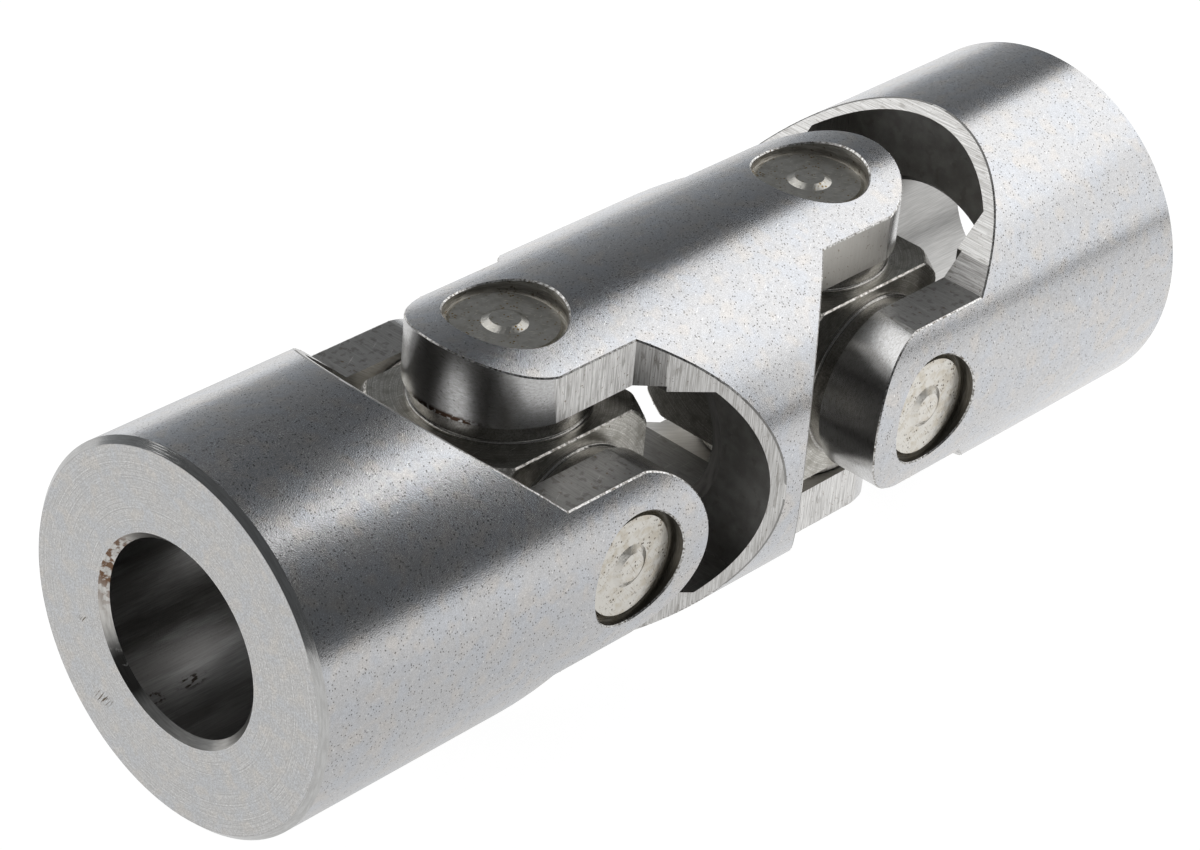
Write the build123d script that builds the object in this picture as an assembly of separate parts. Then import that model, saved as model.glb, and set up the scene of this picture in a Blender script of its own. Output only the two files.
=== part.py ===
from build123d import *
import math
import os

# Double universal joint: two bored hubs and a centre yoke, joined by two crosses
# that turn in needle bearing cups pressed into the fork ears.
# Millimetres, +Z up. The joint lies along X at rest, its underside on the plane Z = 0
# and the middle of the centre yoke over the origin. The hubs' pins lie along Y, the
# centre yoke's pins along Z.

# Shafts and overall size
outer_radius = 18.0
bore_radius = 9.0
pin_to_pin = 40.0
pin_to_hub_end = 37.0

# Turned and broken edges
hub_end_chamfer = 0.6
bore_chamfer = 0.7
ear_hole_edge = 0.15
fork_edge = 0.12
cross_edge = 0.15

# Fork ears, all four forks alike
ear_half_width = 8.5
ear_end_radius = 8.7
ear_gap = 22.5
ear_face_length = 9.9
pin_hole_radius = 5.5

# Flanks milled in two passes, from the ears out to the full diameter
flank_start = 7.65
flank_knee = 9.8
flank_knee_half_width = 10.45
flank_end = 18.8

# Pocket that the opposite ears swing into
pocket_wall = 0.9
pocket_gap = 21.4
pocket_depth = 19.0
pocket_bore_chamfer = 0.6
yoke_hole_radius = 8.5
yoke_hole_chamfer_width = 1.6
yoke_hole_chamfer_depth = 0.6

# Crosses
cross_half_length = 9.4
cross_half_width = 9.2
cross_corner_radius = 14.9
spigot_radius = 4.7
trunnion_radius = 3.5
trunnion_end_play = 0.2
trunnion_chamfer = 0.4
centre_hole_radius = 1.0

# Seal rings between the crosses and the ears
ring_radius = 8.0
ring_lip_radius = 8.3
ring_lip_height = 0.4
ring_lip_round = 0.25
ring_edge = 0.2
ring_ear_clearance = 0.1
ring_fit = 0.01

# Drawn bearing cups, sunk under the outer surface
cup_recess = 1.35
cup_base_thickness = 0.75
cup_rim_radius = 0.65
cup_mouth_inset = 0.15
cup_lip_height = 0.4
cup_fit = 0.01
boss_foot_radius = 2.1
boss_top_radius = 1.4
boss_height = 0.35

# Needle rollers
needle_radius = 0.7
needle_play = 0.02
needle_end_play = 0.1

# Sizes that follow from the ones above
inner_face = ear_gap / 2
pocket_radius = outer_radius - pocket_wall
cup_face_reach = outer_radius - cup_recess
cup_bore_radius = trunnion_radius + 2 * needle_radius + 2 * needle_play
cup_mouth = inner_face + cup_mouth_inset
cup_floor = cup_face_reach - cup_base_thickness
trunnion_reach = cup_floor - trunnion_end_play
needle_circle = trunnion_radius + needle_play + needle_radius
clear_of_part = 2 * outer_radius
surface_tolerance = outer_radius / 2000


def along_x(sketch, start, end):
    """Extrude a sketch, drawn looking along X as Y by Z, between two places on X."""
    return extrude(Plane((start, 0, 0), x_dir=(0, 1, 0), z_dir=(1, 0, 0)) * sketch, end - start)


def turned(points):
    """Revolve a closed outline, given as (along the axis, radius), about X."""
    return revolve(Plane.XZ * make_face(Polyline(*points, close=True)), Axis.X)


def hub_blank(length):
    """Bar stock from the ear tips back to the chamfered end."""
    end = -length
    return turned([
        (end, 0),
        (end, outer_radius - hub_end_chamfer),
        (end + hub_end_chamfer, outer_radius),
        (ear_end_radius, outer_radius),
        (ear_end_radius, 0),
    ])


def yoke_blank(length):
    """Bar stock from the ear tips back to the middle of the centre yoke."""
    return turned([
        (-length, 0),
        (-length, outer_radius),
        (ear_end_radius, outer_radius),
        (ear_end_radius, 0),
    ])


def side_outline(length):
    """Outline of a fork seen along its pins, ears towards +X and the pin at the origin."""
    flanks = make_face(Polyline(
        (-length, -outer_radius),
        (-flank_end, -outer_radius),
        (-flank_knee, -flank_knee_half_width),
        (-flank_start, -ear_half_width),
        (0, -ear_half_width),
        (0, ear_half_width),
        (-flank_start, ear_half_width),
        (-flank_knee, flank_knee_half_width),
        (-flank_end, outer_radius),
        (-length, outer_radius),
        close=True,
    ))
    round_end = Circle(ear_end_radius) & Rectangle(2 * ear_end_radius, 2 * ear_half_width)
    return flanks + round_end


def pocket():
    """Space between the ears and the deeper pocket behind it, open at the ear tips."""
    ear_space = Circle(pocket_radius) & Rectangle(ear_gap, 2 * outer_radius)
    deep_space = Circle(pocket_radius) & Rectangle(pocket_gap, 2 * outer_radius)
    return (along_x(ear_space, -ear_face_length, clear_of_part)
            + along_x(deep_space, -pocket_depth, clear_of_part))


def pin_holes():
    """Both ear holes, along Y."""
    return Rot(90, 0, 0) * Cylinder(pin_hole_radius, clear_of_part * 2)


def on_outside(point):
    """Whether a point lies on the outer surface."""
    return abs(math.hypot(point.Y, point.Z) - outer_radius) < surface_tolerance


def on_hole_rim(point):
    """Whether a point lies where a pin hole leaves the outer surface."""
    return on_outside(point) and abs(math.hypot(point.X, point.Z) - pin_hole_radius) < surface_tolerance


def on_fork_outline(point):
    """Whether a point lies where the milled faces round the ears leave the outer surface."""
    return on_outside(point) and not on_hole_rim(point) and point.X > -flank_end


def break_edges(shape, is_wanted, size):
    """Break the sharp edges that are told by a point a third of the way along them."""
    return chamfer([edge for edge in shape.edges() if is_wanted(edge @ (1 / 3))], size)


def fork(blank, length):
    """A fork milled and bored from its blank: pins along Y, ears towards +X."""
    flat_outline = Plane.XZ * side_outline(length)
    milled = blank & extrude(flat_outline, clear_of_part, both=True)
    milled = milled - pocket() - pin_holes()
    milled = break_edges(milled, on_fork_outline, fork_edge)
    return break_edges(milled, on_hole_rim, ear_hole_edge)


def hub():
    """Hub with its through bore, chamfered at both ends."""
    bore = turned([
        (-pin_to_hub_end, 0),
        (-pin_to_hub_end, bore_radius + bore_chamfer),
        (-pin_to_hub_end + bore_chamfer, bore_radius),
        (-pocket_depth - pocket_bore_chamfer, bore_radius),
        (-pocket_depth, bore_radius + pocket_bore_chamfer),
        (-pocket_depth, 0),
    ])
    return fork(hub_blank(pin_to_hub_end), pin_to_hub_end) - bore


def yoke():
    """Two forks back to back on a thin web with a chamfered hole."""
    middle = pin_to_pin / 2
    mouth = yoke_hole_radius + yoke_hole_chamfer_width
    hole = turned([
        (-middle, 0),
        (-middle, yoke_hole_radius),
        (-pocket_depth - yoke_hole_chamfer_depth, yoke_hole_radius),
        (-pocket_depth, mouth),
        (-pocket_depth, 0),
    ])
    half = Rot(90, 0, 0) * (fork(yoke_blank(middle), middle) - hole)
    far_half = Pos(middle, 0, 0) * half
    near_half = Rot(0, 0, 180) * far_half
    return far_half + near_half


def cross():
    """Block with its corners turned off round, and four spigots and trunnions."""
    block = Box(2 * cross_half_length, 2 * cross_half_width, 2 * cross_half_width)
    block &= Sphere(cross_corner_radius)
    block = chamfer(block.edges(), cross_edge)
    spigot_top = inner_face - ring_ear_clearance
    trunnion = turned([
        (0, 0),
        (0, spigot_radius),
        (spigot_top, spigot_radius),
        (spigot_top, trunnion_radius),
        (trunnion_reach - trunnion_chamfer, trunnion_radius),
        (trunnion_reach, trunnion_radius - trunnion_chamfer),
        (trunnion_reach, centre_hole_radius),
        (trunnion_reach - centre_hole_radius, 0),
    ])
    for direction in pin_directions.values():
        block += direction * trunnion
    return block


def bearing_cup():
    """Drawn cup, closed outwards along X, with a raised boss in its face."""
    cup_radius = pin_hole_radius - cup_fit
    lip_radius = (trunnion_radius + cup_bore_radius) / 2
    half_section = make_face(
        Polyline(
            (cup_face_reach - cup_rim_radius, cup_radius),
            (cup_mouth, cup_radius),
            (cup_mouth, lip_radius),
            (cup_mouth + cup_lip_height, lip_radius),
            (cup_mouth + cup_lip_height, cup_bore_radius),
            (cup_floor, cup_bore_radius),
            (cup_floor, 0),
            (cup_face_reach + boss_height, 0),
            (cup_face_reach + boss_height, boss_top_radius),
            (cup_face_reach, boss_foot_radius),
            (cup_face_reach, cup_radius - cup_rim_radius),
        )
        + RadiusArc(
            (cup_face_reach, cup_radius - cup_rim_radius),
            (cup_face_reach - cup_rim_radius, cup_radius),
            cup_rim_radius,
        )
    )
    return revolve(half_section, Axis.X)


def needle_row():
    """Full complement of needle rollers between a trunnion and its cup."""
    start = cup_mouth + cup_lip_height + needle_end_play
    end = cup_floor - needle_end_play
    pitch_angle = 2 * math.asin((needle_radius + needle_play) / needle_circle)
    count = int(2 * math.pi / pitch_angle)
    needle = along_x(Circle(needle_radius), start, end)
    return Compound([
        Rot(360 * index / count, 0, 0) * Pos(0, needle_circle, 0) * needle.solid()
        for index in range(count)
    ])


def seal_ring():
    """Ring on the cross's spigot, with a wider rounded lip against the block."""
    inner = spigot_radius + ring_fit
    lip_top = cross_half_width + ring_lip_height
    top = inner_face - ring_ear_clearance
    half_section = make_face(
        Polyline(
            (lip_top, ring_lip_radius - ring_lip_round),
            (lip_top, ring_radius),
            (top - ring_edge, ring_radius),
            (top, ring_radius - ring_edge),
            (top, inner),
            (cross_half_width, inner),
            (cross_half_width, ring_lip_radius),
            (lip_top - ring_lip_round, ring_lip_radius),
        )
        + RadiusArc(
            (lip_top, ring_lip_radius - ring_lip_round),
            (lip_top - ring_lip_round, ring_lip_radius),
            ring_lip_round,
        )
    )
    return revolve(half_section, Axis.X)


# The four ways a pin can point from the joint's axis
pin_directions = {
    "front": Rot(0, 0, -90),
    "back": Rot(0, 0, 90),
    "top": Rot(0, -90, 0),
    "bottom": Rot(0, 90, 0),
}

# Place of each pin centre on the joint
near_pin = Pos(-pin_to_pin / 2, 0, outer_radius)
far_pin = Pos(pin_to_pin / 2, 0, outer_radius)

hub_part = hub()
cross_part = cross()
cup_part = bearing_cup()
needles_part = needle_row()
ring_part = seal_ring()

nodes = {
    "near_hub": near_pin * hub_part,
    "centre_yoke": Pos(0, 0, outer_radius) * yoke(),
    "far_hub": far_pin * Rot(0, 0, 180) * hub_part,
}
for end, pin_centre in {"near": near_pin, "far": far_pin}.items():
    nodes[f"{end}_cross"] = pin_centre * cross_part
    for side, direction in pin_directions.items():
        nodes[f"{end}_{side}_cup"] = pin_centre * direction * cup_part
        nodes[f"{end}_{side}_needles"] = pin_centre * direction * needles_part
        nodes[f"{end}_{side}_ring"] = pin_centre * direction * ring_part

os.makedirs("parts", exist_ok=True)
for name, shape in nodes.items():
    export_step(shape, f"parts/{name}.step")
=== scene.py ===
import math
from typing import NamedTuple

import bpy
from mathutils import Euler, Matrix, Vector


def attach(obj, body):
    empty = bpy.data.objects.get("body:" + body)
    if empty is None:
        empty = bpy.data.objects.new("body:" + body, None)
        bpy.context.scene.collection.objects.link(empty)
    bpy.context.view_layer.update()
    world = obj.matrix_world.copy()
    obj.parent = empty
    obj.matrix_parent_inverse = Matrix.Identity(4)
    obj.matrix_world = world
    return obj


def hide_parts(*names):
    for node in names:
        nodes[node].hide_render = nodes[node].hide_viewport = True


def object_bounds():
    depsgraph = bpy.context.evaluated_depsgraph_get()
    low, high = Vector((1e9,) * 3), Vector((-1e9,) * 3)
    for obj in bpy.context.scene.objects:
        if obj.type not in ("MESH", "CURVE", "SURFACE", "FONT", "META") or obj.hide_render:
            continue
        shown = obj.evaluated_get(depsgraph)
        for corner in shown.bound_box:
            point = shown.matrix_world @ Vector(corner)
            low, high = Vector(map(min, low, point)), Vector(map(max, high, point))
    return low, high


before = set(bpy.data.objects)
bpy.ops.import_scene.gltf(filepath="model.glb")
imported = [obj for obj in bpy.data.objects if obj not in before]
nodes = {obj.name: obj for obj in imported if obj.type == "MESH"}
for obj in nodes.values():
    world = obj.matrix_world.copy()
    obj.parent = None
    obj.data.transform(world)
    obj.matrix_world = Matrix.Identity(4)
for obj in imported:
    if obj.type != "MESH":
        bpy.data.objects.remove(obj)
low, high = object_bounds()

# Double universal joint with needle bearing cups. Metres, in the frame of the solids:
# the joint lies along X on the floor, hub pins along Y, yoke pins along Z.

MM = 0.001

# Driving sizes: the outer ones come from the box round the solids
AXIS_HEIGHT = round((low.z + high.z) / 2, 6)
OUTER_RADIUS = round((high.z - low.z) / 2, 6)
PIN_TO_MIDDLE = 20 * MM
PIN_TO_HUB_END = round(high.x, 6) - PIN_TO_MIDDLE

# Places in a fork, measured from its pin towards the bar
HUB_CHAMFER_START = PIN_TO_HUB_END - 0.65 * MM
POCKET_DEPTH = 19 * MM
EAR_FACE_LENGTH = 9.9 * MM
FLANK_START = 7.65 * MM
FLANK_KNEE = 9.8 * MM

# Sizes across a fork
EAR_HALF_WIDTH = 8.5 * MM
EAR_END_RADIUS = 8.7 * MM
PIN_HOLE_RADIUS = 5.5 * MM
HOLE_MOUTH_RADIUS = 10.2 * MM

# Crosses
CROSS_CORNER_RADIUS = 14.9 * MM
SPIGOT_RADIUS = 4.7 * MM
SPIGOT_REACH = 11.15 * MM
TRUNNION_RADIUS = 3.5 * MM

# Needle rollers
NEEDLES_IN_ROW = 18
NEEDLE_RADIUS = 0.7 * MM
NEEDLE_PLAY = 0.02 * MM
NEEDLE_CIRCLE = TRUNNION_RADIUS + NEEDLE_PLAY + NEEDLE_RADIUS
NEEDLE_START = 11.9 * MM
NEEDLE_END = 15.8 * MM
NEEDLE_END_ROUND = 0.2 * MM
NEEDLE_SIDES = 12

# Burr on the edges: crumbs in clumps, with bare stretches between them
BURR_PER_SQUARE_METRE = 9e6
BURR_CLUMP = 0.8 * MM
BURR_BARE_SHARE = 0.5
BURR_SMALLEST = 0.03 * MM
FORK_BURR_LARGEST = 0.05 * MM
CROSS_BURR_LARGEST = 0.09 * MM
BURR_SEED = 7

# How a face is told. First how far its middle may lie from a flat, from a round and from
# the outside, then the cosine of the angle between the way it looks and another way.
NEAR = 0.1 * MM
NEAR_ROUND = 0.3 * MM
SKIN = 0.5 * MM
ALONG = 0.99
NEARLY_ALONG = 0.95
LOOKING_OUT = 0.5
SLANTING = 0.3
SQUARE_TO = 0.02

scene = bpy.context.scene


def linear(hex_colour):
    """An sRGB hex colour as linear red, green, blue and alpha."""
    parts = [int(hex_colour[i:i + 2], 16) / 255 for i in (0, 2, 4)]
    return [p / 12.92 if p <= 0.04045 else ((p + 0.055) / 1.055) ** 2.4 for p in parts] + [1.0]


def add_node(tree, kind, inputs=None, out=0, **settings):
    """Add a node with its settings, fill or link its inputs, and give back one of its outputs."""
    node = tree.nodes.new(kind)
    for name, value in settings.items():
        setattr(node, name, value)
    for key, value in (inputs or {}).items():
        if isinstance(value, bpy.types.NodeSocket):
            tree.links.new(value, node.inputs[key])
        else:
            node.inputs[key].default_value = value
    if not node.outputs:
        return None
    return node.outputs if out is None else node.outputs[out]


# Patterns: each reads a place on the piece and goes from nought up to its most

SPECK_CORE = 0.6
TOOL_MARKS_END = 0.65
STAIN_BAND = 0.08


def patches(tree, place, size, start, end, stretch=(1, 1, 1), turn=(0, 0, 0), most=1.0,
            detail=3.0):
    """Uneven patches about one size across, drawn out by the stretch and then turned."""
    own = add_node(tree, "ShaderNodeMapping", {
        "Vector": place, "Rotation": [math.radians(t) for t in turn],
        "Scale": [size * s for s in stretch]}, vector_type="TEXTURE")
    noise = add_node(tree, "ShaderNodeTexNoise", {"Vector": own, "Scale": 1.0, "Detail": detail})
    return add_node(tree, "ShaderNodeMapRange", {
        "Value": noise, "From Min": start, "From Max": end, "To Min": 0.0, "To Max": most})


def specks(tree, place, spacing, radius, share, most=1.0):
    """Round specks with a full core, at most one to a spacing, on a share of the places."""
    scaled = add_node(tree, "ShaderNodeMapping", {"Vector": place, "Scale": [1 / spacing] * 3})
    cells = add_node(tree, "ShaderNodeTexVoronoi", {"Vector": scaled, "Scale": 1.0}, out=None)
    inside = add_node(tree, "ShaderNodeMapRange", {
        "Value": cells["Distance"], "From Min": radius / spacing,
        "From Max": SPECK_CORE * radius / spacing, "To Min": 0.0, "To Max": most})
    pick = add_node(tree, "ShaderNodeSeparateColor", {0: cells["Color"]})
    chosen = add_node(tree, "ShaderNodeMath", {0: pick, 1: share}, operation="LESS_THAN")
    return add_node(tree, "ShaderNodeMath", {0: inside, 1: chosen}, operation="MULTIPLY")


def turned_marks(tree, place, keep, pitch, start, end):
    """Fine rings about the middle of the kept axes, about one pitch apart."""
    kept = add_node(tree, "ShaderNodeVectorMath", {0: place, 1: keep}, operation="MULTIPLY")
    radius = add_node(tree, "ShaderNodeVectorMath", {0: kept}, out="Value", operation="LENGTH")
    turns = add_node(tree, "ShaderNodeMath", {0: radius, 1: pitch}, operation="DIVIDE")
    noise = add_node(tree, "ShaderNodeTexNoise", {
        "W": turns, "Scale": 1.0, "Detail": 2.0}, noise_dimensions="1D")
    return add_node(tree, "ShaderNodeMapRange", {
        "Value": noise, "From Min": start, "From Max": end, "To Min": 0.0, "To Max": 1.0})


def only_round(tree, pattern, centre, reach):
    """A pattern about one place on the joint, in mm: whole to half its reach, then fading out."""
    offset = add_node(tree, "ShaderNodeMapping", {
        "Vector": object_place(tree), "Location": [c * MM for c in centre],
        "Scale": [r * MM for r in reach]}, vector_type="TEXTURE")
    distance = add_node(tree, "ShaderNodeVectorMath", {0: offset}, out="Value", operation="LENGTH")
    inside = add_node(tree, "ShaderNodeMapRange", {
        "Value": distance, "From Min": 1.0, "From Max": 0.5, "To Min": 0.0, "To Max": 1.0})
    return add_node(tree, "ShaderNodeMath", {0: inside, 1: pattern}, operation="MULTIPLY")


def start_metal(name, roughness):
    """A bare metal: its material, tree and shader."""
    material = bpy.data.materials.new(name)
    material.use_nodes = True
    shader = material.node_tree.nodes["Principled BSDF"]
    shader.inputs["Metallic"].default_value = 1.0
    shader.inputs["Roughness"].default_value = roughness
    return material, material.node_tree, shader


def finish_metal(tree, shader, base, layers, height, depth):
    """Lay each layer's colour over the base by its pattern, and raise the height by the depth."""
    colour = linear(base)
    for over, pattern in layers:
        colour = add_node(tree, "ShaderNodeMix", {
            0: pattern, 6: colour, 7: linear(over)}, out=2, data_type="RGBA")
    tree.links.new(colour, shader.inputs["Base Color"])
    bump = add_node(tree, "ShaderNodeBump", {"Height": height, "Distance": depth, "Strength": 1.0})
    tree.links.new(bump, shader.inputs["Normal"])


def object_place(tree):
    """Place on the object, from the floor under its middle."""
    return add_node(tree, "ShaderNodeTexCoord", out="Object")


def own_place(tree):
    """Place that a piece carries on its mesh, in its own directions."""
    return add_node(tree, "ShaderNodeAttribute", out="Vector", attribute_name="own_place")


# Real grinding and tool lines are a few hundredths of a millimetre apart, too fine to show
# from here. All patterns of 0.2 mm and less stand for them, drawn that much coarser.

# Cold drawn bar, centreless ground and then stored: satin, with a fine even grain, faint
# bluish and straw tints, small dark pits well apart and a few short bright scratches.
def ground_bar_steel():
    material, tree, shader = start_metal("ground_bar_steel", 0.22)
    place = object_place(tree)
    grain = patches(tree, place, 0.12 * MM, 0.3, 0.7, detail=1.0)
    layers = [
        ("D0D5DD", patches(tree, place, 2.6 * MM, 0.45, 0.62, most=0.5, detail=1.0)),
        ("E3DACF", patches(tree, place, 1.9 * MM, 0.53, 0.66, most=0.35, detail=1.0)),
        ("B0B1B4", patches(tree, place, 0.5 * MM, 0.45, 0.75, most=0.3)),
        ("8F8D8B", add_node(tree, "ShaderNodeMath", {0: grain, 1: 0.35}, operation="MULTIPLY")),
        ("FCFBF8", patches(tree, place, 0.1 * MM, 0.68, 0.72, (12, 1, 4), (0, 0, 30), 0.7)),
        ("48423B", specks(tree, place, 0.3 * MM, 0.085 * MM, 0.55, most=0.8)),
    ]
    finish_metal(tree, shader, "D4D4D5", layers, grain, 0.003 * MM)
    return material


# End faced across in a lathe: light neutral grey and grainy, with fine faint rings about
# the bore and short dark scratches at two places.
def faced_end_steel():
    material, tree, shader = start_metal("faced_end_steel", 0.38)
    place = own_place(tree)
    marks = turned_marks(tree, place, (0, 1, 1), 0.12 * MM, 0.3, 0.7)
    grain = patches(tree, place, 0.14 * MM, 0.35, 0.65, detail=2.0)
    cut = patches(tree, place, 0.11 * MM, 0.56, 0.62, (1, 12, 1), (-35, 0, 0), detail=1.0)
    layers = [
        ("CECDCC", marks),
        ("DFE2E6", patches(tree, place, 2.2 * MM, 0.45, 0.62, most=0.7, detail=1.0)),
        ("ECE7E0", patches(tree, place, 1.6 * MM, 0.52, 0.68, most=0.6, detail=1.0)),
        ("A8A6A4", add_node(tree, "ShaderNodeMath", {0: grain, 1: 0.55}, operation="MULTIPLY")),
        ("CBCAC8", patches(tree, place, 0.35 * MM, 0.5, 0.7, most=0.6)),
        ("6B6154", only_round(tree, cut, (-57, 9.0, 7.2), (1, 2.0, 0.8))),
        ("6B6154", only_round(tree, cut, (-57, 11.2, 14.0), (1, 1.2, 0.5))),
    ]
    finish_metal(tree, shader, "F7F7F6", layers, grain, 0.004 * MM)
    return material


# Cross turned between centres and oiled: satin olive grey, with fine rings about each pin,
# darker where the oil gathered, light scratches and brown spots.
def oiled_cross_steel():
    material, tree, shader = start_metal("oiled_cross_steel", 0.29)
    place = own_place(tree)
    marks = turned_marks(tree, place, (1, 1, 1), 0.1 * MM, 0.35, 0.65)
    grain = patches(tree, place, 0.13 * MM, 0.35, 0.65, detail=2.0)
    layers = [
        ("B4B1A9", marks),
        ("8A867C", patches(tree, place, 1.3 * MM, 0.48, 0.66, most=0.7)),
        ("A29F97", add_node(tree, "ShaderNodeMath", {0: grain, 1: 0.7}, operation="MULTIPLY")),
        ("F5F4F0", patches(tree, place, 0.11 * MM, 0.66, 0.7, stretch=(14, 1, 1), most=0.7)),
        ("46391F", patches(tree, place, 0.3 * MM, 0.7, 0.74, most=0.7)),
    ]
    finish_metal(tree, shader, "DFDDD8", layers, grain, 0.004 * MM)
    return material


def drawn_cup_steel(name, roughness, base, grime, rust, scratch):
    """Drawn steel with grime in patches, rust pits in clusters, scratches and soft dents."""
    material, tree, shader = start_metal(name, roughness)
    place = own_place(tree)
    clusters = patches(tree, place, 1.6 * MM, 0.48, 0.6)
    pits = specks(tree, place, 0.3 * MM, 0.12 * MM, 0.5)
    dents = patches(tree, place, 0.7 * MM, 0.3, 0.7)
    layers = [
        (grime, patches(tree, place, 0.9 * MM, 0.45, 0.65, most=0.6)),
        (scratch, patches(tree, place, 0.13 * MM, 0.62, 0.68, (1, 8, 1), (0, 0, 35), 0.6)),
        (scratch, patches(tree, place, 0.16 * MM, 0.66, 0.7, (5, 1, 1), (0, 0, 10), 0.6)),
        (rust, add_node(tree, "ShaderNodeMath", {0: clusters, 1: pits}, operation="MULTIPLY")),
    ]
    finish_metal(tree, shader, base, layers, dents, 0.02 * MM)
    return material


class Layer(NamedTuple):
    """A tint over steel: how large its patches are, in mm, how much of the face they leave
    bare and how strong they get, which way they are drawn out and turned, in degrees, and
    the one place that they keep to, if any, with its reach, in mm on the joint."""
    tint: str
    size: float
    start: float = 0.35
    most: float = 1.0
    stretch: tuple = (1, 1, 1)
    turn: tuple = (0, 0, 0)
    centre: tuple = None
    reach: tuple = None


def machined_steel(name, roughness, base, marks, *stains, depth=0.004):
    """Steel with tool marks of a depth in mm, and stains, rust or scratches over them."""
    material, tree, shader = start_metal(name, roughness)
    place = own_place(tree)
    height = patches(tree, place, marks.size * MM, marks.start, TOOL_MARKS_END,
                     marks.stretch, marks.turn)
    weaker = add_node(tree, "ShaderNodeMath", {0: height, 1: marks.most}, operation="MULTIPLY")
    layers = [(marks.tint, weaker)]
    for stain in stains:
        pattern = patches(tree, place, stain.size * MM, stain.start, stain.start + STAIN_BAND,
                          stain.stretch, stain.turn, stain.most)
        if stain.centre:
            pattern = only_round(tree, pattern, stain.centre, stain.reach)
        layers.append((stain.tint, pattern))
    finish_metal(tree, shader, base, layers, height, depth * MM)
    return material


# Ways that tool marks and scratches run. In a fork the three axes go from the pin towards
# the bar, across the ears and along the pins.
ALONG_BAR = (25, 1, 1)
ACROSS_EARS = (1, 12, 1)
ALONG_PINS = (1, 1, 30)
ROUND_PINS = (10, 10, 1)
ROUND_AXIS = (1, 12, 12)

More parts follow.
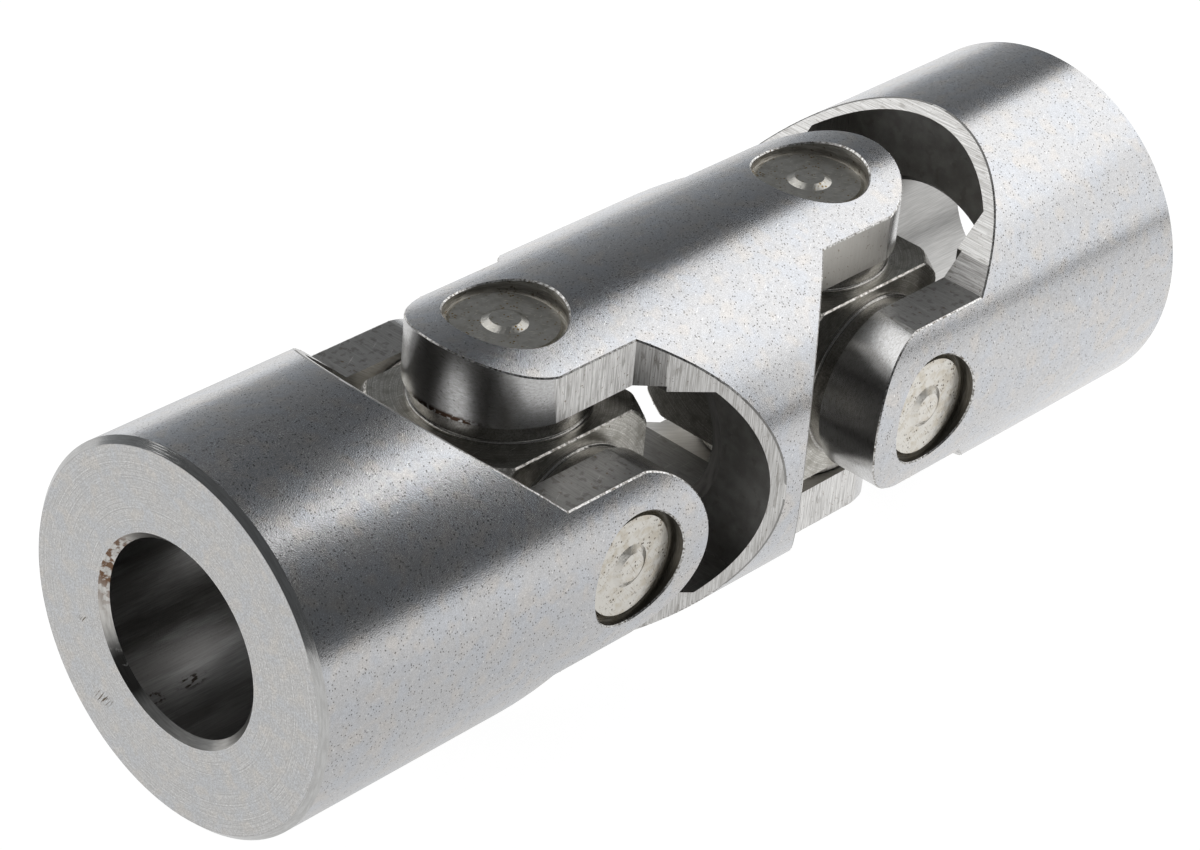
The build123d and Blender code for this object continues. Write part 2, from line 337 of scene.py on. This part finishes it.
STEEL = {
    "outside": ground_bar_steel(),
    "end": faced_end_steel(),
    # Turned edge: smooth and even, with faint rings
    "end chamfer": machined_steel(
        "turned_chamfer_steel", 0.18, "D0D0CF",
        Layer("B2B1AF", 0.12, most=0.6, stretch=ROUND_AXIS)),
    # Edge of the bore, turned, then rusted brown on one side and blackened by oil on another
    "bore chamfer": machined_steel(
        "spotted_chamfer_steel", 0.3, "DFDDD9",
        Layer("AFACA7", 0.12, most=0.6, stretch=ROUND_AXIS),
        Layer("6A4624", 0.7, 0.48, 0.9, centre=(-56.7, 8.2, 21.6), reach=(2, 3, 6.5)),
        Layer("26221E", 0.8, 0.3, 0.85, centre=(-56.7, 6.2, 11.2), reach=(2, 3.2, 3.2))),
    # Reamed wall, clean: light, with fine lines along the bore
    "bore": machined_steel(
        "reamed_bore_steel", 0.32, "BCBBB9",
        Layer("9C9B99", 0.1, most=0.7, stretch=ALONG_BAR)),
    # The near hub's wall: darker than the other bores, as painted shade deep in it, with a patch
    # worn light and brown marks
    "oily bore": machined_steel(
        "shade_painted_bore_steel", 0.36, "ABAAA9",
        Layer("858483", 0.1, most=0.7, stretch=ALONG_BAR),
        Layer("6C6966", 2.4, 0.5, 0.5, stretch=(6, 1, 1)),
        Layer("D6D5D3", 0.2, 0.3, 0.12, centre=(-52.0, 5.8, 11.1), reach=(7, 2.6, 2.6)),
        Layer("2C1D0F", 0.3, 0.52, 0.9, stretch=(3, 1, 1), centre=(-51.9, 3.4, 9.7),
              reach=(2, 0.8, 0.8)),
        Layer("3A2412", 0.4, 0.5, 0.9, centre=(-56.0, 3.4, 9.7), reach=(1.2, 1, 1))),
    # Side milled with an end mill: light grey with fine lines along the pins, darker smears
    # and brown scratches and spots where damp stood, and painted shade over one flat
    "ear flat": machined_steel(
        "milled_ear_steel", 0.33, "F6F5F3",
        Layer("AFADAA", 0.09, most=0.8, stretch=ALONG_PINS),
        Layer("8B8883", 0.5, 0.58, 0.5, stretch=(1, 1, 5)),
        # Painted shade: the yoke's front flat darkened towards its far end, where the far hub's
        # ear shadows it
        Layer("BEBBB5", 1.5, 0.2, 0.9, centre=(16, -8.5, 32), reach=(10, 2, 8)),
        Layer("6B4B26", 0.16, 0.66, 0.7, stretch=(1, 1, 5), turn=(0, 50, 0)),
        Layer("6B5332", 0.35, 0.66, 0.7), depth=0.006),
    # The hubs' flats look up: painted darker than the yoke's milled flats, as shade, with light
    # scratches over it
    "oiled ear flat": machined_steel(
        "shade_painted_ear_steel", 0.36, "B6B5B3",
        Layer("8A8885", 0.1, most=0.7, stretch=ALONG_PINS),
        Layer("74716C", 0.7, 0.54, 0.5),
        Layer("F6F4F0", 0.11, 0.66, 0.7, stretch=ALONG_BAR, turn=(0, 28, 0)),
        Layer("70572E", 0.35, 0.66, 0.7)),
    # Flank beside an ear, milled in a first pass: duller, with lines along the pins and
    # brown spots
    "first flank": machined_steel(
        "first_pass_milled_steel", 0.33, "BBBAB8",
        Layer("7E7B78", 0.09, most=0.8, stretch=ALONG_PINS),
        Layer("6E6B66", 0.4, 0.58, 0.6, stretch=(1, 1, 5)),
        Layer("4A3820", 0.3, 0.64, 0.7), depth=0.006),
    # Flank milled on out to the full diameter: light grey, with thin brown scratches and
    # dark nicks
    "flank": machined_steel(
        "milled_flank_steel", 0.33, "E6E5E3",
        Layer("A9A7A3", 0.09, most=0.8, stretch=ALONG_PINS),
        Layer("8F8B85", 0.4, 0.6, 0.5, stretch=(1, 1, 5)),
        Layer("5E4526", 0.14, 0.66, 0.7, stretch=(1, 1, 7), turn=(0, 55, 0)),
        Layer("3B3733", 0.22, 0.69, 0.7), depth=0.006),
    # Inner face of an ear, wiped: light and smooth, with fine scratches one way
    "ear inside": machined_steel(
        "wiped_ear_face_steel", 0.36, "FBFAF8",
        Layer("D2D0CD", 0.1, most=0.7, stretch=ALONG_BAR, turn=(0, 0, 35)),
        Layer("E6E4E0", 1.8, 0.5, 0.4)),
    # Pocket bored behind the ears and left oily: charcoal, with fine marks about the bore
    "pocket": machined_steel(
        "bored_pocket_steel", 0.5, "A9A8A6",
        Layer("8C8A87", 0.12, most=0.7, stretch=ROUND_AXIS),
        Layer("7F7C76", 1.2, 0.6, 0.4),
        Layer("DCDAD6", 0.12, 0.66, 0.6, stretch=ALONG_BAR)),
    # Countersunk edge of the hole between the pockets, painted near black as shade, for the dark
    # it reflects
    "web mouth": machined_steel(
        "shade_painted_countersink_steel", 0.3, "6B6966",
        Layer("464442", 0.2, most=0.8, stretch=ROUND_AXIS)),
    # Round end turned about the pin and wiped: smooth and dark, with faint crossing
    # scratches, and at one place a line of rust along its lower edge
    "ear end": machined_steel(
        "turned_ear_end_steel", 0.25, "DADADA",
        Layer("BCBAB7", 0.16, most=0.6, stretch=(2, 4, 1)),
        Layer("6A6661", 0.11, 0.62, 0.6, stretch=ACROSS_EARS, turn=(25, 0, 0)),
        Layer("F6F5F2", 0.1, 0.65, 0.6, stretch=ACROSS_EARS, turn=(-30, 0, 0)),
        Layer("45290D", 0.4, 0.4, 0.95, centre=(-28.2, -1.2, 29.35), reach=(2.6, 5.6, 0.55)),
        depth=0.002),
    # Reamed pin hole: grey, brown where damp stood above the cup
    "hole": machined_steel(
        "reamed_hole_steel", 0.4, "E4E2DE",
        Layer("9C978F", 0.15, most=0.7, stretch=ROUND_PINS),
        Layer("6A5130", 0.5, 0.6, 0.6), depth=0.006),
    # The hubs' holes look sideways and are painted dark above the cup, as the shade that falls in
    # them
    "oily hole": machined_steel(
        "shade_painted_hole_steel", 0.4, "85827C",
        Layer("5C5850", 0.15, most=0.7, stretch=ROUND_PINS), depth=0.006),
    # Edge broken with a file: bright, with dark nicks
    "edge": machined_steel(
        "filed_edge_steel", 0.3, "F2F1EF",
        Layer("716D67", 0.25),
        Layer("60492B", 0.5, 0.64, 0.7)),
    "cross": oiled_cross_steel(),
    # Cross's edge, rubbed bright in places
    "cross edge": machined_steel(
        "rubbed_cross_edge_steel", 0.34, "E8E5DF",
        Layer("79746B", 0.3, most=0.9)),
    # Corner turned off the cross: lighter, with brown spots
    "cross corner": machined_steel(
        "turned_corner_steel", 0.4, "D6D3CD",
        Layer("97928A", 0.14, most=0.8),
        Layer("6B4F2C", 0.7, 0.6, 0.6)),
    # Trunnion ground for its needles: nearly a mirror
    "trunnion": machined_steel(
        "ground_trunnion_steel", 0.2, "C9C8C6",
        Layer("A5A29D", 0.12, most=0.3), depth=0.001),
    # Face of a cup in a hub, dry: beige grey, with rust pits in clusters and dull scratches
    "cup": drawn_cup_steel("dry_cup_steel", 0.34, "E2DFD8", "C5BBA8", "46351F", "978A76"),
    # Face of a cup in the centre yoke: dark olive, painted shade for its recess and for looking
    # up, scratched bright, rust yellow
    "oiled cup": drawn_cup_steel(
        "shade_painted_cup_steel", 0.34, "BBB9B3", "A19E95", "80662F", "F1EDE0"),
    # Rim of the drawn cup, rubbed when it was pressed in
    "cup rim": machined_steel(
        "drawn_rim_steel", 0.28, "DAD7D0",
        Layer("8E887D", 0.2, most=0.6)),
    # Rollers ground and polished: the smoothest steel here
    "needle": machined_steel(
        "needle_roller_steel", 0.15, "D0CFCD",
        Layer("BAB8B5", 0.3, most=0.3), depth=0.0),
    # Ring turned and oiled: dark satin with fine bright lines
    "ring": machined_steel(
        "oiled_ring_steel", 0.25, "B6B4B0",
        Layer("827E77", 0.2, most=0.7),
        Layer("F3F1EC", 0.12, 0.68, 0.6, stretch=(8, 1, 1))),
    # Crumbs of burr, bent up and rubbed bright
    "burr": machined_steel(
        "burr_steel", 0.35, "F2F0EC",
        Layer("B9AE9C", 0.1, most=0.6)),
}


# Pieces: copies of the solids, with a finish for each face

def fork_place(point, node):
    """Place in a fork: from its pin towards the bar, across the ears, along the pins."""
    x, y, z = point.x, point.y, point.z - AXIS_HEIGHT
    if node == "near_hub":
        return Vector((-PIN_TO_MIDDLE - x, z, y))
    if node == "far_hub":
        return Vector((x - PIN_TO_MIDDLE, z, y))
    return Vector((PIN_TO_MIDDLE - abs(x), y, z))


def fork_finish(place, normal, node):
    """Which finish a face of a fork has, told by its place and which way it looks."""
    # u goes from the pin towards the bar, v across the ears and w along the pins
    u, v, w = place
    across, pins = (normal.y, normal.z) if node == "centre_yoke" else (normal.z, normal.y)
    around = math.hypot(v, w)
    outwards = (across * v + pins * w) / max(around, MM)
    from_pin = math.hypot(u, v)
    on_bore = around < HOLE_MOUTH_RADIUS and u > POCKET_DEPTH - NEAR
    beside_pins = abs(pins) < SQUARE_TO
    if node != "centre_yoke" and u > HUB_CHAMFER_START:
        if abs(normal.x) > ALONG:
            return "end"
        return "bore chamfer" if around < HOLE_MOUTH_RADIUS else "end chamfer"
    if on_bore and abs(normal.x) > SLANTING:
        return "web mouth"
    if on_bore:
        # The near hub's bore takes the darker copy, painted with shade
        return "oily bore" if node == "near_hub" else "bore"
    if around > OUTER_RADIUS - SKIN and outwards > NEARLY_ALONG:
        return "outside"
    if around > OUTER_RADIUS - SKIN and outwards > SLANTING and abs(pins) > SLANTING:
        return "edge"
    if beside_pins and abs(from_pin - PIN_HOLE_RADIUS) < NEAR:
        # The hubs' holes take the finish painted dark with shade
        return "hole" if node == "centre_yoke" else "oily hole"
    if abs(pins) > ALONG and u < EAR_FACE_LENGTH:
        return "ear inside"
    if beside_pins and abs(across) > NEARLY_ALONG and abs(abs(v) - EAR_HALF_WIDTH) < NEAR:
        # The hubs' flats, which look up, take the darker copy with painted shade
        return "ear flat" if node == "centre_yoke" else "oiled ear flat"
    if beside_pins and u < 0 and from_pin > EAR_END_RADIUS - NEAR_ROUND:
        return "ear end"
    if beside_pins and FLANK_START < u < FLANK_KNEE:
        return "first flank"
    if beside_pins and FLANK_KNEE <= u < POCKET_DEPTH and outwards > 0:
        return "flank"
    return "pocket"


def cross_finish(place, normal):
    """Which finish a face of a cross has."""
    squareness = max(abs(c) for c in normal)
    from_pins = min(math.hypot(place.x, place.y), math.hypot(place.x, place.z))
    on_corner = place.length > CROSS_CORNER_RADIUS - NEAR_ROUND and squareness < ALONG
    if place.length > SPIGOT_REACH and from_pins < TRUNNION_RADIUS + NEAR:
        return "trunnion"
    if on_corner and normal.dot(place.normalized()) > ALONG:
        return "cross corner"
    if squareness > ALONG or from_pins < SPIGOT_RADIUS + NEAR_ROUND:
        return "cross"
    return "cross edge"


def pin_place(point, centre, way):
    """Place on a pin: across it twice and outwards along it."""
    offset = point - centre
    side = Vector((1, 0, 0))
    return Vector((offset.dot(side), offset.dot(way.cross(side)), offset.dot(way)))


def merged(mesh, name):
    """The solid's triangles with their shared corners joined, shaded as the solid is."""
    corners = [tuple(round(c, 8) for c in vertex.co) for vertex in mesh.vertices]
    index = {}
    for corner in corners:
        index.setdefault(corner, len(index))
    faces, normals = [], []
    for polygon in mesh.polygons:
        face = [index[corners[i]] for i in polygon.vertices]
        if len(set(face)) == 3:
            faces.append(face)
            normals += [mesh.corner_normals[i].vector.copy() for i in polygon.loop_indices]
    result = bpy.data.meshes.new(name)
    result.from_pydata(list(index), [], faces)
    result.polygons.foreach_set("use_smooth", [True] * len(faces))
    result.normals_split_custom_set(normals)
    return result


def show(name, mesh, body, replaced=None):
    """Put a finished mesh in the scene as a piece of a body."""
    piece = bpy.data.objects.new(name, mesh)
    scene.collection.objects.link(piece)
    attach(piece, body)
    if replaced:
        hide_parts(replaced)


def dressed(node, place_of, finish_of):
    """A copy of a solid's mesh that carries its own places and a finish for each face."""
    mesh = merged(nodes[node].data, f"{node}_finished")
    own = mesh.attributes.new("own_place", "FLOAT_VECTOR", "CORNER")
    names = []
    for polygon in mesh.polygons:
        for loop in polygon.loop_indices:
            own.data[loop].vector = place_of(mesh.vertices[mesh.loops[loop].vertex_index].co)
        finish = finish_of(place_of(polygon.center), polygon.normal)
        if finish not in names:
            names.append(finish)
            mesh.materials.append(STEEL[finish])
        polygon.material_index = names.index(finish)
    return mesh


# What repeats: crumbs of burr along the edges, and rollers in their rows

def start_tree(name, sockets):
    """A geometry tree with named inputs, its input node's sockets and its output node."""
    tree = bpy.data.node_groups.new(name, "GeometryNodeTree")
    tree.interface.new_socket("Geometry", in_out="INPUT", socket_type="NodeSocketGeometry")
    for label, kind in sockets.items():
        tree.interface.new_socket(label, in_out="INPUT", socket_type=kind)
    tree.interface.new_socket("Geometry", in_out="OUTPUT", socket_type="NodeSocketGeometry")
    return tree, add_node(tree, "NodeGroupInput", out=None)


def burr_tree():
    """Crumbs of burr, in clumps, on the faces of one finish."""
    tree, given = start_tree("burr_crumbs", {
        "Edge Finish": "NodeSocketMaterial", "Crumbs per Square Metre": "NodeSocketFloat",
        "Clump Size": "NodeSocketFloat", "Bare Share": "NodeSocketFloat",
        "Smallest": "NodeSocketFloat", "Largest": "NodeSocketFloat",
        "Crumb Finish": "NodeSocketMaterial"})
    on_edge = add_node(tree, "GeometryNodeMaterialSelection", {"Material": given["Edge Finish"]})
    spread = add_node(tree, "GeometryNodeDistributePointsOnFaces", {
        "Mesh": given["Geometry"], "Selection": on_edge,
        "Density": given["Crumbs per Square Metre"], "Seed": BURR_SEED}, out=None)
    place = add_node(tree, "GeometryNodeInputPosition")
    steps = add_node(tree, "ShaderNodeVectorMath", {
        0: place, 1: given["Clump Size"]}, operation="DIVIDE")
    clumps = add_node(tree, "ShaderNodeTexNoise", {"Vector": steps, "Scale": 1.0, "Detail": 1.0})
    in_clump = add_node(tree, "FunctionNodeCompare", {
        0: clumps, 1: given["Bare Share"]}, operation="GREATER_THAN")
    crumb = add_node(tree, "GeometryNodeMeshIcoSphere", {"Radius": 1.0, "Subdivisions": 1})
    size = add_node(tree, "FunctionNodeRandomValue", {
        0: given["Smallest"], 1: given["Largest"], "Seed": BURR_SEED}, data_type="FLOAT_VECTOR")
    crumbs = add_node(tree, "GeometryNodeInstanceOnPoints", {
        "Points": spread["Points"], "Selection": in_clump, "Instance": crumb,
        "Rotation": spread["Rotation"], "Scale": size})
    solid = add_node(tree, "GeometryNodeRealizeInstances", {"Geometry": crumbs})
    finished = add_node(tree, "GeometryNodeSetMaterial", {
        "Geometry": solid, "Material": given["Crumb Finish"]})
    add_node(tree, "NodeGroupOutput", {0: finished})
    return tree


def roller_tree():
    """A ring of rollers about Z, then turned and set on its pin."""
    tree, given = start_tree("roller_row", {
        "Rollers": "NodeSocketInt", "Circle Radius": "NodeSocketFloat", "Turn": "NodeSocketVector",
        "Pin Centre": "NodeSocketVector", "Roller Finish": "NodeSocketMaterial"})
    circle = add_node(tree, "GeometryNodeMeshCircle", {
        "Vertices": given["Rollers"], "Radius": given["Circle Radius"]})
    row = add_node(tree, "GeometryNodeInstanceOnPoints", {
        "Points": circle, "Instance": given["Geometry"]})
    turned = add_node(tree, "GeometryNodeTransform", {
        "Geometry": row, "Rotation": given["Turn"], "Translation": given["Pin Centre"]})
    solid = add_node(tree, "GeometryNodeRealizeInstances", {"Geometry": turned})
    finished = add_node(tree, "GeometryNodeSetMaterial", {
        "Geometry": solid, "Material": given["Roller Finish"]})
    add_node(tree, "NodeGroupOutput", {0: finished})
    return tree


def grown(name, mesh, tree, values):
    """The plain mesh that a tree makes of a mesh."""
    grower = bpy.data.objects.new(name, mesh)
    scene.collection.objects.link(grower)
    modifier = grower.modifiers.new("grow", "NODES")
    modifier.node_group = tree
    sockets = {s.name: s.identifier for s in tree.interface.items_tree if s.in_out == "INPUT"}
    for label, value in values.items():
        modifier[sockets[label]] = value
    evaluated = grower.evaluated_get(bpy.context.evaluated_depsgraph_get())
    result = bpy.data.meshes.new_from_object(evaluated)
    result.name = name
    grower.modifiers.remove(modifier)
    bpy.data.objects.remove(grower)
    return result


def roller_mesh():
    """One needle roller about Z, its ends rounded over."""
    round_off = NEEDLE_END_ROUND
    # Halfway round, a quarter circle is 0.3 of its radius in from either side
    halfway = 0.3 * NEEDLE_END_ROUND
    profile = [
        (NEEDLE_START, NEEDLE_RADIUS - round_off),
        (NEEDLE_START + halfway, NEEDLE_RADIUS - halfway),
        (NEEDLE_START + round_off, NEEDLE_RADIUS),
        (NEEDLE_END - round_off, NEEDLE_RADIUS),
        (NEEDLE_END - halfway, NEEDLE_RADIUS - halfway),
        (NEEDLE_END, NEEDLE_RADIUS - round_off),
    ]
    sides = range(NEEDLE_SIDES)
    ways = [math.tau * i / NEEDLE_SIDES for i in sides]
    corners = [(r * math.cos(way), r * math.sin(way), z) for z, r in profile for way in ways]
    faces = [tuple(reversed(sides)), tuple(len(corners) - NEEDLE_SIDES + i for i in sides)]
    for ring in range(len(profile) - 1):
        for i in sides:
            a = ring * NEEDLE_SIDES + i
            b = ring * NEEDLE_SIDES + (i + 1) % NEEDLE_SIDES
            faces.append((a, b, b + NEEDLE_SIDES, a + NEEDLE_SIDES))
    mesh = bpy.data.meshes.new("needle_roller")
    mesh.from_pydata(corners, [], faces)
    mesh.polygons.foreach_set("use_smooth", [len(face) == 4 for face in faces])
    return mesh


def add_burr(body, mesh, edge, largest):
    """Stand the burr that grows on one finish of a body's mesh."""
    crumbs = grown(f"{body}_burr", mesh.copy(), BURR_TREE, {
        "Edge Finish": STEEL[edge], "Crumbs per Square Metre": BURR_PER_SQUARE_METRE,
        "Clump Size": BURR_CLUMP, "Bare Share": BURR_BARE_SHARE, "Smallest": BURR_SMALLEST,
        "Largest": largest, "Crumb Finish": STEEL["burr"]})
    show(f"{body}_burr", crumbs, body)


BURR_TREE = burr_tree()
ROLLER_TREE = roller_tree()
ROLLER = roller_mesh()

# Each side's pin: which way it points, how its row of rollers turns and what holds its cup
PINS = {
    "front": (Vector((0, -1, 0)), (math.pi / 2, 0, 0), "{}_hub"),
    "back": (Vector((0, 1, 0)), (-math.pi / 2, 0, 0), "{}_hub"),
    "top": (Vector((0, 0, 1)), (0, 0, math.pi / 2), "centre_yoke"),
    "bottom": (Vector((0, 0, -1)), (math.pi, 0, math.pi / 2), "centre_yoke"),
}

for fork in ("near_hub", "centre_yoke", "far_hub"):
    mesh = dressed(fork, lambda p: fork_place(p, fork), lambda p, n: fork_finish(p, n, fork))
    show(f"{fork}_finished", mesh, fork, fork)
    add_burr(fork, mesh, "edge", FORK_BURR_LARGEST)

for end, x in (("near", -PIN_TO_MIDDLE), ("far", PIN_TO_MIDDLE)):
    centre = Vector((x, 0, AXIS_HEIGHT))
    cross = f"{end}_cross"
    mesh = dressed(cross, lambda p: p - centre, cross_finish)
    show(f"{cross}_finished", mesh, cross, cross)
    add_burr(cross, mesh, "cross edge", CROSS_BURR_LARGEST)
    for side, (way, row_turn, holder) in PINS.items():
        carrier = holder.format(end)
        # Cups in the centre yoke take a darker face painted with shade
        face = "oiled cup" if carrier == "centre_yoke" else "cup"
        cup = f"{end}_{side}_cup"
        mesh = dressed(cup, lambda p: pin_place(p, centre, way),
                       lambda p, n: face if n.dot(way) > LOOKING_OUT else "cup rim")
        show(f"{cup}_finished", mesh, carrier, cup)
        ring = f"{end}_{side}_ring"
        mesh = dressed(ring, lambda p: pin_place(p, centre, way), lambda p, n: "ring")
        show(f"{ring}_finished", mesh, cross, ring)
        rollers = grown(f"{end}_{side}_rollers", ROLLER.copy(), ROLLER_TREE, {
            "Rollers": NEEDLES_IN_ROW, "Circle Radius": NEEDLE_CIRCLE, "Turn": row_turn,
            "Pin Centre": centre, "Roller Finish": STEEL["needle"]})
        show(f"{end}_{side}_rollers", rollers, carrier, f"{end}_{side}_needles")


# Floor: white paper, with painted light for the metal to reflect: a glow that rises along the
# joint

FLOOR_REACH = 3.0
GLOW_START, GLOW_END = -40 * MM, 72 * MM
LEAST_GLOW, MOST_GLOW = 0.707, 0.944
PAPER_IN_VIEW = 0.97


def white_paper():
    """Matt white paper: even white in view, with a soft shadow under the joint, and a painted glow
    that the metal reflects.
    """
    material = bpy.data.materials.new("white_paper")
    material.use_nodes = True
    tree = material.node_tree
    tree.nodes.clear()
    path = add_node(tree, "ShaderNodeLightPath", out=None)
    shown = add_node(tree, "ShaderNodeMath", {
        0: path["Is Glossy Ray"], 1: path["Is Transmission Ray"]}, operation="MAXIMUM")
    along = add_node(tree, "ShaderNodeSeparateXYZ", {0: object_place(tree)})
    paper_glow = add_node(tree, "ShaderNodeMapRange", {
        "Value": along, "From Min": GLOW_START, "From Max": GLOW_END,
        "To Min": LEAST_GLOW, "To Max": MOST_GLOW}, interpolation_type="SMOOTHSTEP")
    in_metal = add_node(tree, "ShaderNodeMath", {0: shown, 1: paper_glow}, operation="MULTIPLY")
    in_view = add_node(tree, "ShaderNodeMath", {
        0: path["Is Camera Ray"], 1: PAPER_IN_VIEW}, operation="MULTIPLY")
    strength = add_node(tree, "ShaderNodeMath", {0: in_metal, 1: in_view}, operation="ADD")
    glow = add_node(tree, "ShaderNodeEmission", {"Color": linear("FFFFFF"), "Strength": strength})
    paper = add_node(tree, "ShaderNodeBsdfDiffuse", {"Color": linear("6E6E6E")})
    both = add_node(tree, "ShaderNodeAddShader", {0: glow, 1: paper})
    add_node(tree, "ShaderNodeOutputMaterial", {"Surface": both})
    return material


floor_corners = [(x * FLOOR_REACH, y * FLOOR_REACH, low.z)
                 for x, y in ((-1, -1), (1, -1), (1, 1), (-1, 1))]
floor_mesh = bpy.data.meshes.new("floor")
floor_mesh.from_pydata(floor_corners, [], [(0, 1, 2, 3)])
floor_mesh.materials.append(white_paper())
floor = bpy.data.objects.new("floor", floor_mesh)
scene.collection.objects.link(floor)


# Lights: a soft box past the far end, with a weaker foot under its seam, and another high
# at the back. Lengths in metres, turns in degrees.

SIDE_SEAM = Vector((0.13006, -0.03875, 0.08108))
SIDE_TURN = (86.5332, 7.2096, 64.6437)
SIDE_WIDTH = 0.180
SIDE_HEIGHT, SIDE_GLOW = 0.1663, 1.373
FOOT_HEIGHT, FOOT_GLOW = 0.0553, 1.07
BACK_WAY = Vector((-0.107, 0.606, 0.788))
BACK_DISTANCE = 0.4
BACK_WIDTH, BACK_GLOW = 0.34, 1.25


def turned_by(angles):
    """Turn by angles in degrees about X, then Y, then Z."""
    return Euler([math.radians(angle) for angle in angles]).to_matrix()


def soft_panel(name, centre, facing, width, height, glow):
    """A soft box of even glow: a rectangle whose light goes against its facing axis."""
    data = bpy.data.lights.new(name, "AREA")
    data.shape = "RECTANGLE"
    data.size = width
    data.size_y = height
    data.energy = glow * math.pi * width * height
    panel = bpy.data.objects.new(name, data)
    panel.matrix_world = Matrix.LocRotScale(centre, facing, None)
    panel.visible_camera = False
    scene.collection.objects.link(panel)


side_facing = turned_by(SIDE_TURN)
side_up = side_facing.col[1]
soft_panel("side_soft_box", SIDE_SEAM + SIDE_HEIGHT / 2 * side_up, side_facing,
           SIDE_WIDTH, SIDE_HEIGHT, SIDE_GLOW)
soft_panel("side_soft_box_foot", SIDE_SEAM - FOOT_HEIGHT / 2 * side_up, side_facing,
           SIDE_WIDTH, FOOT_HEIGHT, FOOT_GLOW)
soft_panel("back_soft_box", BACK_DISTANCE * BACK_WAY, BACK_WAY.to_track_quat("Z", "Y"),
           BACK_WIDTH, BACK_WIDTH, BACK_GLOW)


# Room above: the paper's sweep, lit low down behind the joint, in a dim room

ROOM_GLOW = 0.099
ROOM_IN_VIEW = 1.05
SWEEP_GLOW = 0.355
SWEEP_WAY = (0.67, 0.74, 0.0)
SWEEP_EDGE, SWEEP_MIDDLE = 0.2, 0.85
SWEEP_TOP = 0.7
SWEEP_FALL = 1.39


def dim_room():
    """A room that is dim to the metal and white in view."""
    world = bpy.data.worlds.new("room")
    world.use_nodes = True
    tree = world.node_tree
    way = add_node(tree, "ShaderNodeTexCoord", out="Generated")
    rise = add_node(tree, "ShaderNodeSeparateXYZ", {0: way}, out=2)
    behind = add_node(tree, "ShaderNodeVectorMath", {
        0: way, 1: SWEEP_WAY}, out="Value", operation="DOT_PRODUCT")
    under_top = add_node(tree, "ShaderNodeMapRange", {
        "Value": rise, "From Min": SWEEP_TOP, "From Max": 0.0})
    low_down = add_node(tree, "ShaderNodeMath", {0: under_top, 1: SWEEP_FALL}, operation="POWER")
    lit_behind = add_node(tree, "ShaderNodeMapRange", {
        "Value": behind, "From Min": SWEEP_EDGE, "From Max": SWEEP_MIDDLE,
        "To Min": 0.0, "To Max": SWEEP_GLOW})
    sweep = add_node(tree, "ShaderNodeMath", {0: lit_behind, 1: low_down}, operation="MULTIPLY")
    room = add_node(tree, "ShaderNodeMath", {0: sweep, 1: ROOM_GLOW}, operation="ADD")
    path = add_node(tree, "ShaderNodeLightPath", out=None)
    in_view = add_node(tree, "ShaderNodeMath", {
        0: path["Is Camera Ray"], 1: ROOM_IN_VIEW}, operation="MULTIPLY")
    strength = add_node(tree, "ShaderNodeMath", {0: room, 1: in_view}, operation="MAXIMUM")
    background = tree.nodes["Background"]
    background.inputs["Color"].default_value = linear("F7FBFF")
    tree.links.new(strength, background.inputs["Strength"])
    return world


scene.world = dim_room()


# Camera where the photograph was taken from, in metres and degrees

CAMERA_PLACE = (-0.22681, -0.19047, 0.20501)
CAMERA_TURN = (57.2498, -4.4857, -46.3022)
CAMERA_LENS = 114.7
CAMERA_SENSOR = 36.0

camera_data = bpy.data.cameras.new("camera")
camera_data.sensor_width = CAMERA_SENSOR
camera_data.lens = CAMERA_LENS
camera = bpy.data.objects.new("camera", camera_data)
camera.matrix_world = Matrix.LocRotScale(CAMERA_PLACE, turned_by(CAMERA_TURN), None)
scene.collection.objects.link(camera)
scene.camera = camera

scene.view_settings.view_transform = "Standard"
